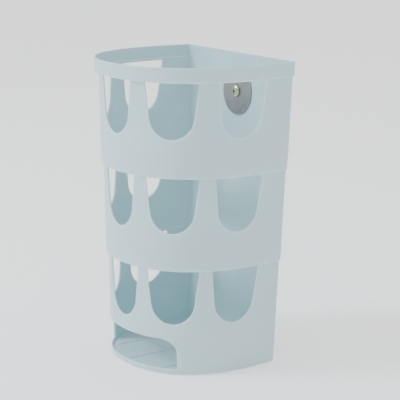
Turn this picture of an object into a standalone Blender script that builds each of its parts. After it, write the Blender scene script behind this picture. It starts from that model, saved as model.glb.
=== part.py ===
"""Wall-hung, three-tier dispenser for carrier bags: a moulded basket, a backing washer and a wall screw.

Metres, +Z up. The basket's flat back faces +Y and its rounded nose faces -Y. The origin is at the
middle of the bounding box's bottom face. The back leans in towards the foot, as a mould's draft does.
"""

import math

import bmesh
import bpy
from mathutils import Matrix, Vector
from mathutils.geometry import interpolate_bezier

# Basket, overall
HALF_WIDTH = 0.0923
DEPTH = 0.1505
WALL = 0.0018
CORNER_RADIUS = 0.0035

# Plan outline: how far each handle of its curve reaches, in half widths or depths
SIDE_BULGE = 0.226
SIDE_REACH = 0.770
NOSE_REACH = 0.610
CURVE_POINTS = 25
CORNER_STEPS = 4

# Tiers: each one stands a step inside the one above, and its wall leans in towards its foot
RIM_HEIGHT = 0.0143
TIER_HEIGHT = 0.0906
LOWEST_TIER_HEIGHT = 0.1045
HEIGHT = RIM_HEIGHT + 2 * TIER_HEIGHT + LOWEST_TIER_HEIGHT
SIDE_DRAFT = 0.0262
NOSE_DRAFT = 0.0190
BACK_DRAFT = 0.0374
RIM_STEP_SIDE = 0.0023
RIM_STEP_NOSE = 0.0037
TIER_STEP_SIDE = 0.0022
TIER_STEP_NOSE = 0.0015

# Foot and floor
FOOT_INNER_RADIUS = 0.0004
FOOT_RADIUS = WALL + FOOT_INNER_RADIUS
FOOT_STEPS = 3
FOOT_FLANGE = 0.0040
FLOOR_TOP = 0.0036
FLOOR_THICKNESS = 0.0020
RIB_HEIGHT = 0.0007
RIB_WIDTH = 0.0012
RIB_PITCH = 0.0430
RIB_MARGIN = 0.0040

CROSS_RIB_OFFSET = 0.01075

# U-shaped holes in five columns, the middle one on the nose: where each stands along a half outline, as a
# share of it, and its width as a share of the widest column's
HOLE_COLUMNS = ((-0.697, 0.95), (-0.345, 1.0), (0.0, 0.95), (0.345, 1.0), (0.697, 0.95))
HOLE_TOP_HALF_WIDTH = 0.0265
HOLE_RADIUS = 0.0224
HOLE_DROP = 0.0535
HOLE_TOP_GAP = 0.0005
HOLE_CUT_DEPTH = 0.0187
HOLE_ARC_STEPS = 16

# Mouth that the bags are pulled from
MOUTH_HALF_WIDTH = 0.0603
BAND_OVER_MOUTH = 0.0154
MOUTH_TOP = LOWEST_TIER_HEIGHT - HOLE_DROP - BAND_OVER_MOUTH
SILL_HEIGHT = 0.0021
MOUTH_SILL = FLOOR_TOP + SILL_HEIGHT
MOUTH_RADIUS = min(0.0130, (MOUTH_TOP - MOUTH_SILL) / 2)
MOUTH_CUT_DEPTH = 0.0376
MOUTH_ARC_STEPS = 8

# Wall fixing
FIXING_BELOW_TOP = 0.0387
SHANK_RADIUS = 0.0024
SCREW_HOLE_CLEARANCE = 0.0007
SCREW_HOLE_RADIUS = SHANK_RADIUS + SCREW_HOLE_CLEARANCE
WASHER_RADIUS = 0.0240
WASHER_THICKNESS = 0.0012
WASHER_EDGE = 0.0003
WASHER_SHIFT = 0.0009
WASHER_BORE_CLEARANCE = 0.0004
WASHER_BORE_RADIUS = SHANK_RADIUS + WASHER_SHIFT + WASHER_BORE_CLEARANCE
SHANK_LENGTH = 0.0300
POINT_LENGTH = 0.0060
HEAD_OVERLAP = 0.0016
HEAD_RADIUS = WASHER_BORE_RADIUS + WASHER_SHIFT + HEAD_OVERLAP
HEAD_EDGE = 0.0008
HEAD_DOME = 0.0026
HEAD_STEPS = 6
RECESS_HALF_LENGTH = 0.0033
RECESS_HALF_WIDTH = 0.0006
RECESS_DEPTH = 0.0022
RECESS_TAPER = 0.55
SEAT_GAP = 0.0003
TURNED_STEPS = 48

COLLECTION = "wall_bag_dispenser"

HEAD_SEAT = WALL + WASHER_THICKNESS + 2 * SEAT_GAP
SCREW_PROJECTION = SHANK_LENGTH - HEAD_SEAT
BACK_TOP = (DEPTH - SCREW_PROJECTION) / 2


def clear_scene():
    for obj in list(bpy.data.objects):
        bpy.data.objects.remove(obj, do_unlink=True)


def new_collection(name):
    collection = bpy.data.collections.new(name)
    bpy.context.scene.collection.children.link(collection)
    return collection


def material(name, colour, roughness, metallic=0.0):
    made = bpy.data.materials.new(name)
    made.use_nodes = True
    shader = made.node_tree.nodes["Principled BSDF"]
    shader.inputs["Base Color"].default_value = (*colour, 1.0)
    shader.inputs["Roughness"].default_value = roughness
    shader.inputs["Metallic"].default_value = metallic
    made.diffuse_color = (*colour, 1.0)
    return made


def add_object(name, data, collection, place=None):
    obj = bpy.data.objects.new(name, data)
    collection.objects.link(obj)
    if place is not None:
        obj.matrix_world = place
    return obj


def hide_cutter(obj):
    obj.hide_render = True
    obj.display_type = "WIRE"
    return obj


def smooth(obj, degrees=30):
    obj.data.shade_smooth()
    obj.data.set_sharp_from_angle(angle=math.radians(degrees))


def add_boolean(obj, other, operation):
    boolean = obj.modifiers.new(f"{operation.lower()}_{other.name}", "BOOLEAN")
    boolean.operation = operation
    boolean.solver = "EXACT"
    boolean.object = other


def back_y(z):
    """Where the back's outer face lies at height z."""
    return BACK_TOP - BACK_DRAFT * (HEIGHT - z)


def half_outline(side_inset, nose_inset, z):
    """The plan at height z, from the nose at x = 0 round to where the back corner's fillet meets the back."""
    width = HALF_WIDTH - side_inset
    depth = DEPTH - nose_inset - BACK_DRAFT * (HEIGHT - z)
    corner = Vector((width, back_y(z)))
    handle = Vector((SIDE_BULGE * width, -SIDE_REACH * depth))
    along = handle.normalized()
    turn = math.acos(along.x)
    cut = CORNER_RADIUS * math.tan(turn / 2)
    nose = Vector((0, corner.y - depth))
    side = interpolate_bezier(
        nose, nose + Vector((NOSE_REACH * width, 0)), corner + handle, corner + along * cut, CURVE_POINTS
    )
    centre = corner - Vector((cut, CORNER_RADIUS))
    angles = [turn * (1 - step / CORNER_STEPS) for step in range(1, CORNER_STEPS + 1)]
    fillet = [centre + CORNER_RADIUS * Vector((math.sin(a), math.cos(a))) for a in angles]
    return [Vector(point) for point in side] + fillet


def ring(side_inset, nose_inset, z):
    """The whole plan as points in space, from the +X end of the back round the nose to its -X end."""
    half = half_outline(side_inset, nose_inset, z)
    right = [Vector((p.x, p.y, z)) for p in reversed(half)]
    left = [Vector((-p.x, p.y, z)) for p in half[1:]]
    return right + left


def tier_levels():
    """(side inset, nose inset, height) of every level of the wall's outer face, top to bottom."""
    levels = [(0.0, 0.0, HEIGHT)]
    steps = [(RIM_STEP_SIDE, RIM_STEP_NOSE), (TIER_STEP_SIDE, TIER_STEP_NOSE), (TIER_STEP_SIDE, TIER_STEP_NOSE)]
    feet = [HEIGHT - RIM_HEIGHT - TIER_HEIGHT * tier for tier in range(3)]
    for (side_step, nose_step), foot in zip(steps, feet):
        side, nose, top = levels[-1]
        side += SIDE_DRAFT * (top - foot)
        nose += NOSE_DRAFT * (top - foot)
        levels += [(side, nose, foot), (side + side_step, nose + nose_step, foot)]
    side, nose, top = levels[-1]
    side += SIDE_DRAFT * (top - FOOT_RADIUS)
    nose += NOSE_DRAFT * (top - FOOT_RADIUS)
    return levels + [(side, nose, FOOT_RADIUS)]


def wall_insets(z):
    """Side and nose inset of the outer face at height z."""
    levels = tier_levels()
    for (side, nose, top), (_, _, foot) in zip(levels, levels[1:]):
        if foot <= z < top:
            return side + SIDE_DRAFT * (top - z), nose + NOSE_DRAFT * (top - z)
    return levels[-1][:2]


def flange_edge(points):
    """The flange's inner edge, whose points along the back move in from it by the flange's width."""
    limit = back_y(0) - FOOT_FLANGE
    return [Vector((p.x, p.y - FOOT_FLANGE if p.y > limit else p.y, p.z)) for p in points]


def wall_surface():
    """The wall's outer face as an open surface: stepped tiers, a rounded foot, and the flange it stands on."""
    levels = tier_levels()
    side, nose, _ = levels[-1]
    for step in range(1, FOOT_STEPS + 1):
        turn = math.radians(90) * step / FOOT_STEPS
        curl = FOOT_RADIUS * (1 - math.cos(turn))
        levels.append((side + curl, nose + curl, FOOT_RADIUS * (1 - math.sin(turn))))
    flange = FOOT_RADIUS + FOOT_FLANGE
    levels.append((side + flange, nose + flange, 0.0))

    mesh = bmesh.new()
    rings = []
    for index, (side_inset, nose_inset, z) in enumerate(levels):
        points = ring(side_inset, nose_inset, z)
        if index == len(levels) - 1:
            points = flange_edge(points)
        rings.append([mesh.verts.new(p) for p in points])
    for upper, lower in zip(rings, rings[1:]):
        for a, b, c, d in zip(upper, upper[1:], lower[1:], lower):
            mesh.faces.new((a, d, c, b))
    back = [r[0] for r in rings[:-1]] + [r[-1] for r in reversed(rings[:-1])]
    mesh.faces.new(back)
    mesh.faces.new((rings[-2][0], rings[-1][0], rings[-1][-1], rings[-2][-1]))
    bmesh.ops.recalc_face_normals(mesh, faces=mesh.faces)
    data = bpy.data.meshes.new("basket_body")
    mesh.to_mesh(data)
    mesh.free()
    return data


def floor_plate():
    """A closed plate in the wall's outline, reaching half way into the wall all round."""
    top, bottom = [], []
    mesh = bmesh.new()
    for verts, z in ((top, FLOOR_TOP), (bottom, FLOOR_TOP - FLOOR_THICKNESS)):
        side, nose = wall_insets(FOOT_RADIUS)
        inset = FOOT_RADIUS / 2 + WALL / 2
        points = ring(side + inset, nose + inset, z)
        for p in points:
            verts.append(mesh.verts.new((p.x, min(p.y, back_y(0) - WALL / 2), z)))
    mesh.faces.new(top)
    mesh.faces.new(reversed(bottom))
    for a, b, c, d in zip(top, top[1:] + top[:1], bottom[1:] + bottom[:1], bottom):
        mesh.faces.new((a, d, c, b))
    bmesh.ops.recalc_face_normals(mesh, faces=mesh.faces)
    data = bpy.data.meshes.new("floor_plate")
    mesh.to_mesh(data)
    mesh.free()
    return data


def box(name, low, high):
    """A box mesh between two corners."""
    low, high = Vector(low), Vector(high)
    mesh = bmesh.new()
    place = Matrix.Translation((low + high) / 2) @ Matrix.Diagonal((*(high - low), 1.0))
    bmesh.ops.create_cube(mesh, size=1.0, matrix=place)
    data = bpy.data.meshes.new(name)
    mesh.to_mesh(data)
    mesh.free()
    return data


def inner_reach(x, inset):
    """The nose-side y of the floor's edge at x, drawn in by the inset."""
    side, nose = wall_insets(FOOT_RADIUS)
    half = half_outline(side + inset, nose + inset, FOOT_RADIUS)
    for near, far in zip(half, half[1:]):
        if near.x <= abs(x) < far.x:
            share = (abs(x) - near.x) / (far.x - near.x)
            return near.y + share * (far.y - near.y)
    return half[0].y


def floor_ribs():
    """(name, mesh) of the ribs that stand on the floor: three front to back, crossed by two."""
    low, high = FLOOR_TOP - FLOOR_THICKNESS / 2, FLOOR_TOP + RIB_HEIGHT
    half = RIB_WIDTH / 2
    inset = WALL + RIB_MARGIN
    back = back_y(0) - inset
    for column in (-1, 0, 1):
        x = column * RIB_PITCH
        front = inner_reach(x, inset)
        yield f"rib_{column + 1}", box("rib", (x - half, front, low), (x + half, back, high))
    side = HALF_WIDTH - wall_insets(FOOT_RADIUS)[0] - inset
    for row in (1, 2):
        y = back_y(0) - RIB_PITCH * row + CROSS_RIB_OFFSET
        yield f"cross_rib_{row}", box("rib", (-side, y - half, low), (side, y + half, high))


def outline_mesh(name, points, half_thickness):
    """A flat outline in its own XY plane, given thickness along Z, as a closed mesh."""
    curve = bpy.data.curves.new(name, "CURVE")
    curve.dimensions = "2D"
    curve.fill_mode = "BOTH"
    curve.extrude = half_thickness
    spline = curve.splines.new("POLY")
    spline.points.add(len(points) - 1)
    for point, (x, y) in zip(spline.points, points):
        point.co = (x, y, 0, 1)
    spline.use_cyclic_u = True
    drawn = add_object(f"{name}_outline", curve, cutters)
    bpy.context.view_layer.update()
    graph = bpy.context.evaluated_depsgraph_get()
    data = bpy.data.meshes.new_from_object(drawn.evaluated_get(graph))
    bpy.data.objects.remove(drawn)
    data.name = name
    mesh = bmesh.new()
    mesh.from_mesh(data)
    bmesh.ops.remove_doubles(mesh, verts=mesh.verts, dist=1e-6)
    bmesh.ops.recalc_face_normals(mesh, faces=mesh.faces)
    mesh.to_mesh(data)
    mesh.free()
    return data


def hole_outline(width):
    """A U below y = 0: sides that close in towards the round bottom and meet it without a corner."""
    centre = -(HOLE_DROP - HOLE_RADIUS)
    reach = math.hypot(HOLE_TOP_HALF_WIDTH, centre)
    lean = math.acos(HOLE_RADIUS / reach) - math.atan2(-centre, HOLE_TOP_HALF_WIDTH)
    points = [(-HOLE_TOP_HALF_WIDTH * width, -HOLE_TOP_GAP), (HOLE_TOP_HALF_WIDTH * width, -HOLE_TOP_GAP)]
    for step in range(HOLE_ARC_STEPS + 1):
        angle = -lean - (math.pi - 2 * lean) * step / HOLE_ARC_STEPS
        points.append((width * HOLE_RADIUS * math.cos(angle), centre + HOLE_RADIUS * math.sin(angle)))
    return points


def along_outline(half, share):
    """The point at this share of a half outline's length, and the outward direction there."""
    lengths = [(b - a).length for a, b in zip(half, half[1:])]
    left = abs(share) * sum(lengths)
    for a, b, length in zip(half, half[1:], lengths):
        if left <= length:
            break
        left -= length
    point = a.lerp(b, left / length)
    forward = (b - a).normalized()
    outward = Vector((forward.y, -forward.x))
    if share < 0:
        point.x, outward.x = -point.x, -outward.x
    return point, outward


def cut_holes(body):
    """Five U-shaped holes in each tier, flush under the step above them."""
    shapes = {}
    for _, width in HOLE_COLUMNS:
        shapes[width] = outline_mesh("hole_cutter", hole_outline(width), HOLE_CUT_DEPTH)
    for tier in range(3):
        top = HEIGHT - RIM_HEIGHT - tier * TIER_HEIGHT
        side, nose = wall_insets(top - HOLE_DROP / 2)
        half = half_outline(side, nose, top - HOLE_DROP / 2)
        for column, (share, width) in enumerate(HOLE_COLUMNS):
            point, outward = along_outline(half, share)
            across = Vector((-outward.y, outward.x, 0))
            turned = Matrix((across, (0, 0, 1), (outward.x, outward.y, 0))).transposed().to_4x4()
            place = Matrix.Translation((point.x, point.y, top)) @ turned
            cutter = hide_cutter(add_object(f"hole_{tier + 1}_{column + 1}", shapes[width], cutters, place))
            add_boolean(body, cutter, "DIFFERENCE")


def cut_mouth(body):
    """The mouth low in the front: straight sides and sill, and rounded upper corners."""
    half, radius = MOUTH_HALF_WIDTH, MOUTH_RADIUS
    points = [(-half, MOUTH_SILL), (half, MOUTH_SILL)]
    for side, start in ((1, 0), (-1, 90)):
        for step in range(MOUTH_ARC_STEPS + 1):
            angle = math.radians(start + 90 * step / MOUTH_ARC_STEPS)
            x = side * (half - radius) + radius * math.cos(angle)
            points.append((x, MOUTH_TOP - radius + radius * math.sin(angle)))
    shape = outline_mesh("mouth_cutter", points, MOUTH_CUT_DEPTH)
    turned = Matrix(((1, 0, 0), (0, 0, -1), (0, 1, 0))).to_4x4()
    place = Matrix.Translation((0, BACK_TOP - DEPTH, 0)) @ turned
    add_boolean(body, hide_cutter(add_object("mouth", shape, cutters, place)), "DIFFERENCE")


def fixing_place():
    """The fixing's frame: origin on the back's inner face, +Z into the basket and square to the back, +Y up."""
    z = HEIGHT - FIXING_BELOW_TOP
    inward = Vector((0, -1, BACK_DRAFT)).normalized()
    across = Vector((1, 0, 0))
    turned = Matrix((across, inward.cross(across), inward)).transposed()
    return Matrix.Translation(Vector((0, back_y(z), z)) + inward * WALL) @ turned.to_4x4()


def turned_object(name, profile, closed, collection, place):
    """A profile of (radius, height) points turned about the fixing's own axis."""
    mesh = bmesh.new()
    verts = [mesh.verts.new((radius, 0, height)) for radius, height in profile]
    for a, b in zip(verts, verts[1:] + verts[: 1 if closed else 0]):
        mesh.edges.new((a, b))
    data = bpy.data.meshes.new(name)
    mesh.to_mesh(data)
    mesh.free()
    obj = add_object(name, data, collection, place)
    screw = obj.modifiers.new("turned", "SCREW")
    screw.axis = "Z"
    screw.angle = math.tau
    screw.steps = screw.render_steps = TURNED_STEPS
    screw.use_merge_vertices = True
    screw.merge_threshold = 1e-6
    screw.use_smooth_shade = True
    return obj


def washer_profile():
    """The washer's cross-section, clockwise from its inner edge, with both outer edges eased."""
    low, high = SEAT_GAP, SEAT_GAP + WASHER_THICKNESS
    inner, outer, edge = WASHER_BORE_RADIUS, WASHER_RADIUS, WASHER_EDGE
    return [(inner, high), (outer - edge, high), (outer, high - edge), (outer, low + edge),
            (outer - edge, low), (inner, low)]


def screw_profile():
    """From the crown of the domed head down the outside to the point of the shank."""
    seat = 2 * SEAT_GAP + WASHER_THICKNESS
    points = []
    for step in range(HEAD_STEPS + 1):
        angle = math.radians(90) * step / HEAD_STEPS
        points.append((HEAD_RADIUS * math.sin(angle), seat + HEAD_EDGE + HEAD_DOME * math.cos(angle)))
    tip = seat - SHANK_LENGTH
    return points + [(HEAD_RADIUS, seat), (SHANK_RADIUS, seat), (SHANK_RADIUS, tip + POINT_LENGTH), (0.0, tip)]


def cut_recess(screw):
    """A cross recess in the crown: two wings at right angles, narrowing towards their foot."""
    crown = 2 * SEAT_GAP + WASHER_THICKNESS + HEAD_EDGE + HEAD_DOME
    for turn in (0, 90):
        half, width = RECESS_HALF_LENGTH, RECESS_HALF_WIDTH
        wing = box("recess_cutter", (-half, -width, -RECESS_DEPTH), (half, width, HEAD_DOME))
        for vertex in wing.vertices:
            if vertex.co.z < 0:
                vertex.co.x *= RECESS_TAPER
        place = fixing_place() @ Matrix.Translation((0, 0, crown)) @ Matrix.Rotation(math.radians(turn), 4, "Z")
        cutter = hide_cutter(add_object(f"recess_wing_{turn}", wing, cutters, place))
        add_boolean(screw, cutter, "DIFFERENCE")


def make_basket(plastic):
    body = add_object("basket_body", wall_surface(), parts)
    body.data.materials.append(plastic)
    shell = body.modifiers.new("wall", "SOLIDIFY")
    shell.solidify_mode = "NON_MANIFOLD"
    shell.nonmanifold_thickness_mode = "CONSTRAINTS"
    shell.thickness = WALL
    shell.offset = -1
    add_boolean(body, hide_cutter(add_object("floor_plate", floor_plate(), cutters)), "UNION")
    for name, data in floor_ribs():
        add_boolean(body, hide_cutter(add_object(name, data, cutters)), "UNION")
    cut_holes(body)
    cut_mouth(body)
    bore = [(0.0, HEAD_DOME), (SCREW_HOLE_RADIUS, HEAD_DOME), (SCREW_HOLE_RADIUS, -2 * WALL), (0.0, -2 * WALL)]
    hole = turned_object("screw_hole", bore, False, cutters, fixing_place())
    add_boolean(body, hide_cutter(hole), "DIFFERENCE")
    smooth(body)


def make_washer(steel):
    shifted = fixing_place() @ Matrix.Translation((WASHER_SHIFT, 0, 0))
    washer = turned_object("backing_washer", washer_profile(), True, parts, shifted)
    washer.data.materials.append(steel)


def make_screw(zinc):
    screw = turned_object("wall_screw", screw_profile(), False, parts, fixing_place())
    screw.data.materials.append(zinc)
    cut_recess(screw)


clear_scene()
parts = new_collection(COLLECTION)
cutters = new_collection("cutters")
make_basket(material("pale_blue_plastic", (0.50, 0.60, 0.64), 0.42))
make_washer(material("washer_steel", (0.42, 0.41, 0.42), 0.35, 1.0))
make_screw(material("yellow_zinc", (0.62, 0.60, 0.40), 0.28, 1.0))
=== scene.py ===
"""Wall-hung, three-tier dispenser for carrier bags: the finished basket, its backing washer and its screw."""

import math

import bmesh
import bpy
import numpy as np
from mathutils import Matrix, Vector


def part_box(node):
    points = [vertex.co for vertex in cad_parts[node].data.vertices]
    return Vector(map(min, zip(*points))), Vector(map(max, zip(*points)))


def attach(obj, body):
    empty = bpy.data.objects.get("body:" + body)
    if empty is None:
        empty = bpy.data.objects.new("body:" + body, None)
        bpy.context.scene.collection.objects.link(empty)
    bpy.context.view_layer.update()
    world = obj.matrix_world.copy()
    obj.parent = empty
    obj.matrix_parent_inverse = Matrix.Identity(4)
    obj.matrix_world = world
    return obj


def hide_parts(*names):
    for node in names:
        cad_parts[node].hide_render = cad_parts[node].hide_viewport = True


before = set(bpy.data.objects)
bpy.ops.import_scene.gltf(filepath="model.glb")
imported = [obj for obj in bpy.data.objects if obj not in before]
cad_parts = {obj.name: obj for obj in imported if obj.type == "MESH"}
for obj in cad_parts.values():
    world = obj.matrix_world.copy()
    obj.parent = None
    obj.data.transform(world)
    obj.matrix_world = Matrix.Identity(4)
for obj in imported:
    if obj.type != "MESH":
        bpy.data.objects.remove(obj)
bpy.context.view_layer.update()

bl_info = {
    "name": "Carrier Bag Dispenser",
    "version": (1, 0, 0),
    "blender": (4, 5, 0),
    "location": "View3D > Sidebar > Bag Dispenser",
    "description": "Adds a moulded wall dispenser for carrier bags, with its washer and screw",
    "category": "Add Mesh",
}

WASHER_LOW, WASHER_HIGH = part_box("backing_washer")
WASHER_X = (WASHER_LOW[0] + WASHER_HIGH[0]) / 2

# Every length below is in metres

# Plan: how far the curve's handles reach, as shares of the half width and of the depth
SIDE_BULGE, SIDE_REACH, NOSE_REACH = 0.226, 0.770, 0.610
CORNER_RADIUS = 0.0035
# The plan that shares of the outline are measured on is this much narrower and shallower than the rim
MEASURED_NARROWER, MEASURED_SHALLOWER = 0.008, 0.012
MEASURED_POINTS = 801
# A share is searched for up to this limit, by so many halvings, and shares that agree to these digits are one
SEARCH_LIMIT, SEARCH_STEPS, SHARE_DIGITS = 0.75, 30, 9
# Where along the outline the flat faces of the back start and meet
BACK_STRIP, BACK_MIDDLE = 1.006, 2.0

# Drafts, in for each metre down, and how far the wall has stepped in under the rim and each ledge
SIDE_DRAFT, NOSE_DRAFT, BACK_DRAFT = 0.0262, 0.0190, 0.0374
BACK_SLANT = math.hypot(1, BACK_DRAFT)
SIDE_STEPS = (0.0, 0.0023, 0.0045, 0.0067)
NOSE_STEPS = (0.0, 0.0037, 0.0052, 0.0067)

# Rim, tiers and ledges; the guard is how near the lip and the ledge the rim's plain rows come, and the radii
# are of a ledge's upper and lower bend, outside and then inside
TIERS, PLAIN_RIM_ROWS = 3, 3
RIM_HEIGHT, TIER_HEIGHT, RIM_GUARD = 0.0143, 0.0906, 0.001
LEDGE_SLOPE = 0.0001
LEDGE_RADII = ((0.0008, 0.0002), (0.0005, 0.0005))

# Foot, floor and the ribs on it
FOOT_RADIUS, FOOT_FLANGE, FOOT_RECESS, FOOT_EASE = 0.0022, 0.0040, 0.0016, 0.0004
FLOOR_TOP, FLOOR_HOLLOW, FLOOR_MARGIN = 0.0036, 0.0009, 0.0012
RIB_HEIGHT, RIB_WIDTH, RIB_PITCH, RIB_MARGIN, RIB_ROOT = 0.0007, 0.0012, 0.0430, 0.0040, 0.0004
RIB_CAP, RIB_SQUARENESS, CROSS_RIB_SINK = 0.0012, 0.7, 0.00002

# Hole columns: share of the outline at the middle, width against a wide hole's, lean of the foot as a share
HOLE_COLUMNS = (
    (-0.697, 0.95, 0.010),
    (-0.345, 1.0, 0.0),
    (0.0, 0.95, 0.0),
    (0.345, 1.0, 0.0),
    (0.697, 0.95, 0.010),
)
# Share of a cut's rounding that a hole's top takes, and degrees below level where its side meets its foot
HOLE_TOP_EASE, SIDE_END_ANGLE = 0.3, 50
# Shares where one hole's patch of wall meets the next one's, and the height where the mouth's patch starts
CELL_BORDERS = (-0.881, -0.5235, -0.1745, 0.1745, 0.5235, 0.881)
PLAIN_CELLS, MOUTH_CELLS = (0, 4), (1, 2, 3)
BAND_TOP = 0.0430

# Fixing: the hole in the back, the washer, and the screw's head, recess, neck, thread and point
FIXING_BELOW_TOP = 0.0387
SCREW_HOLE_RADIUS, SCREW_HOLE_EASE = 0.0031, 0.00025
SEAT_GAP = 0.0003
WASHER_EASE = 0.00035
HEAD_EDGE, HEAD_DOME, HEAD_EASE = 0.0008, 0.0026, 0.0002
RECESS_TURN, RECESS_DEPTH = 0.12, 0.0021
WING_REACH, WING_END_SLOPE = 0.0033, 0.0011
WING_HALF_WIDTH, WING_SIDE_SLOPE = 0.00075, 0.00028
COLLAR, NECK_LENGTH = 0.0004, 0.004
THREAD_PITCH, CORE_SHARE, RIDGE_SHARE, RUN_IN = 0.0017, 0.70, 0.24, 0.0015
POINT_LENGTH, POINT_ROUNDING, POINT_GAP = 0.0060, 0.8, 0.0001

# How much rubbing each edge gets and how much painted highlight the plastic takes there, from 0 to 1; a pair
# runs from its first value up to its second
LEDGE_WEAR_AND_LIGHT, CUT_WEAR_AND_LIGHT, PATCH_WEAR_AND_LIGHT = (0.3, 0.9), (0.2, 0.8), 0.6
FLANGE_WEAR_AND_LIGHT, SCREW_HOLE_WEAR_AND_LIGHT, RIB_WEAR_AND_LIGHT = 0.6, 0.5, 0.7
# Share of the washer's half width that is rubbed at each of its edges
RUBBED_SHARE = 0.125

# Mesh counts
ACROSS = 24
DOWN = 30
BAND_DOWN = 22
FILLET = 4
FOOT_ROWS, FLOOR_ROWS = 6, 5
CORNER_COUNT = 10
SIDE_COUNT = 6
ARC_POINTS = 60
SCALE_POINTS = 400
RIB_AROUND, RIB_ALONG, RIB_CAP_ROWS = 16, 22, 6
WASHER_RINGS, WASHER_ROWS = 12, 6
HEAD_RINGS, ROWS_PER_PITCH = 49, 12
TURN_COUNT = 96
RADIAL_SHARES = np.array([0.0, 0.10, 0.40, 0.75, 0.93, 1.0])
WELD, SLIVER = 2e-6, 1e-7

# Stage and camera, in metres, degrees and, for the lens, millimetres
STAGE_RADIUS, STAGE_DROP, STAGE_RINGS, STAGE_SECTORS = 60.0, 0.0002, 25, 96
SKY_STOPS = (
    (0.0, (0.72, 0.72, 0.73, 1.0)),
    (0.07, (0.70, 0.71, 0.72, 1.0)),
    (0.18, (0.13, 0.16, 0.19, 1.0)),
    (0.80, (1.0, 1.0, 1.0, 1.0)),
)
SKY_STRENGTH, FLOOR_GLOW = 1.6, 0.45
CAMERA_PLACE, CAMERA_SWING, CAMERA_RISE = (1.15406, -0.75035, 0.46304), 56.4911, 12.5737
CAMERA_LENS, CAMERA_SENSOR, CAMERA_NEAR = 127.095, 36.0, 0.01


def sizes():
    """The sizes that the panel shows."""
    return bpy.context.scene.bag_dispenser_sizes


def colours():
    """The colours that the panel shows."""
    return bpy.context.scene.bag_dispenser_colours


def quarter(count=FILLET):
    """Sine and one minus cosine of even steps through a quarter turn."""
    turn = np.linspace(0, math.pi / 2, count + 1)
    return np.sin(turn), 1 - np.cos(turn)


def back_at(z):
    """Y of the back's outer face: its place at the rim less the draft times the drop from the rim."""
    return sizes().back_top - BACK_DRAFT * (sizes().height - z)


class Outline:
    """The basket's plan at any height, run through by s: 0 at the nose, +1 and -1 where the back corners end.

    Up to the share where the corner starts, s follows a cubic Bezier curve by its length; then s turns evenly
    round the corner's arc; past 1 it runs along the flat back to the middle at 2. A depth e moves every point
    inwards along the plan's own normal.
    """

    def __init__(self):
        size = sizes()
        self.height, self.half_width, self.depth = size.height, size.half_width, size.depth
        self.t = np.linspace(0, 1, MEASURED_POINTS)
        width, depth = self.half_width - MEASURED_NARROWER, self.depth - MEASURED_SHALLOWER
        *points, turn, _ = self.handles(width, depth, np.zeros(1))
        x, y = (self.bezier(self.t, *(p[i] for p in points)) for i in (0, 1))
        length = np.concatenate([[0], np.cumsum(np.hypot(np.diff(x), np.diff(y)))])
        self.total = length[-1] + CORNER_RADIUS * float(turn[0])
        self.shares = length / self.total
        self.corner_start = self.shares[-1]

    def handles(self, width, depth, back):
        """The curve's four points, the corner's turn, and how far the corner cuts back the side and the back.

        The cut is the corner's radius times the tangent of half its turn.
        """
        hx, hy = SIDE_BULGE * width, -SIDE_REACH * depth
        length = np.hypot(hx, hy)
        turn = np.arccos(hx / length) + np.zeros_like(back)
        cut = CORNER_RADIUS * np.tan(turn / 2)
        nose = back - depth
        p0 = (np.zeros_like(nose), nose)
        p1 = (NOSE_REACH * width + np.zeros_like(nose), nose)
        p2 = (width + hx + np.zeros_like(nose), back + hy)
        p3 = (width + hx / length * cut, back + hy / length * cut)
        return p0, p1, p2, p3, turn, cut

    @staticmethod
    def bezier(t, a, b, c, d):
        """The cubic Bezier curve through four values: each times its share of (1 - t + t) cubed."""
        u = 1 - t
        return u**3 * a + 3 * u**2 * t * b + 3 * u * t**2 * c + t**3 * d

    @staticmethod
    def slope(t, a, b, c, d):
        """The same curve's derivative: three times the quadratic curve of the differences."""
        u = 1 - t
        return 3 * (u**2 * (b - a) + 2 * u * t * (c - b) + t**2 * (d - c))

    def place(self, s, z, side_step, nose_step, e):
        """Points of the wall at s, height z, steps in from the rim's own slope, and depth e into the wall."""
        values = (np.asarray(v, float) for v in (s, z, side_step, nose_step, e))
        s, z, side_step, nose_step, e = np.broadcast_arrays(*values)
        fall = self.height - z
        width = self.half_width - side_step - SIDE_DRAFT * fall
        depth = self.depth - nose_step - (NOSE_DRAFT + BACK_DRAFT) * fall
        back = back_at(z)
        *points, turn, cut = self.handles(width, depth, back)
        share = np.abs(s)
        t = np.interp(share, self.shares, self.t)
        x, y = (self.bezier(t, *(p[i] for p in points)) for i in (0, 1))
        dx, dy = (self.slope(t, *(p[i] for p in points)) for i in (0, 1))
        norm = np.hypot(dx, dy)
        nx, ny = dy / norm, -dx / norm
        angle = turn * np.clip((1 - share) / (1 - self.corner_start), 0, 1)
        bend = share > self.corner_start
        x = np.where(bend, width - cut + CORNER_RADIUS * np.sin(angle), x)
        y = np.where(bend, back - CORNER_RADIUS + CORNER_RADIUS * np.cos(angle), y)
        nx, ny = np.where(bend, np.sin(angle), nx), np.where(bend, np.cos(angle), ny)
        flat = share > 1
        x = np.where(flat, (width - cut) * (BACK_MIDDLE - share), x)
        sign = np.where(s < 0, -1.0, 1.0)
        return np.stack([sign * (x - e * nx), y - e * ny, z], -1)

    def surface(self, rows, s):
        """Points for every row of height, side step, nose step and depth, and every s."""
        return self.place(s[None, :], *(rows[:, i, None] for i in range(4)))

    def share_at(self, x, z, side_step, nose_step, e):
        """The s whose point lies at this x, found by halving the interval again and again."""
        low, high = np.zeros_like(x), np.full_like(x, SEARCH_LIMIT)
        for _ in range(SEARCH_STEPS):
            middle = (low + high) / 2
            short = self.place(middle, z, side_step, nose_step, e)[..., 0] < np.abs(x)
            low, high = np.where(short, middle, low), np.where(short, high, middle)
        return np.sign(x) * (low + high) / 2

    def scale(self, tier):
        """How long a half outline is in this tier's middle, against the one that shares are measured on."""
        z = self.height - RIM_HEIGHT - (tier - 0.5) * TIER_HEIGHT
        run = self.place(np.linspace(0, 1, SCALE_POINTS), z, SIDE_STEPS[tier], NOSE_STEPS[tier], 0.0)
        return float(np.linalg.norm(np.diff(run, axis=0), axis=1).sum()) / self.total


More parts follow.
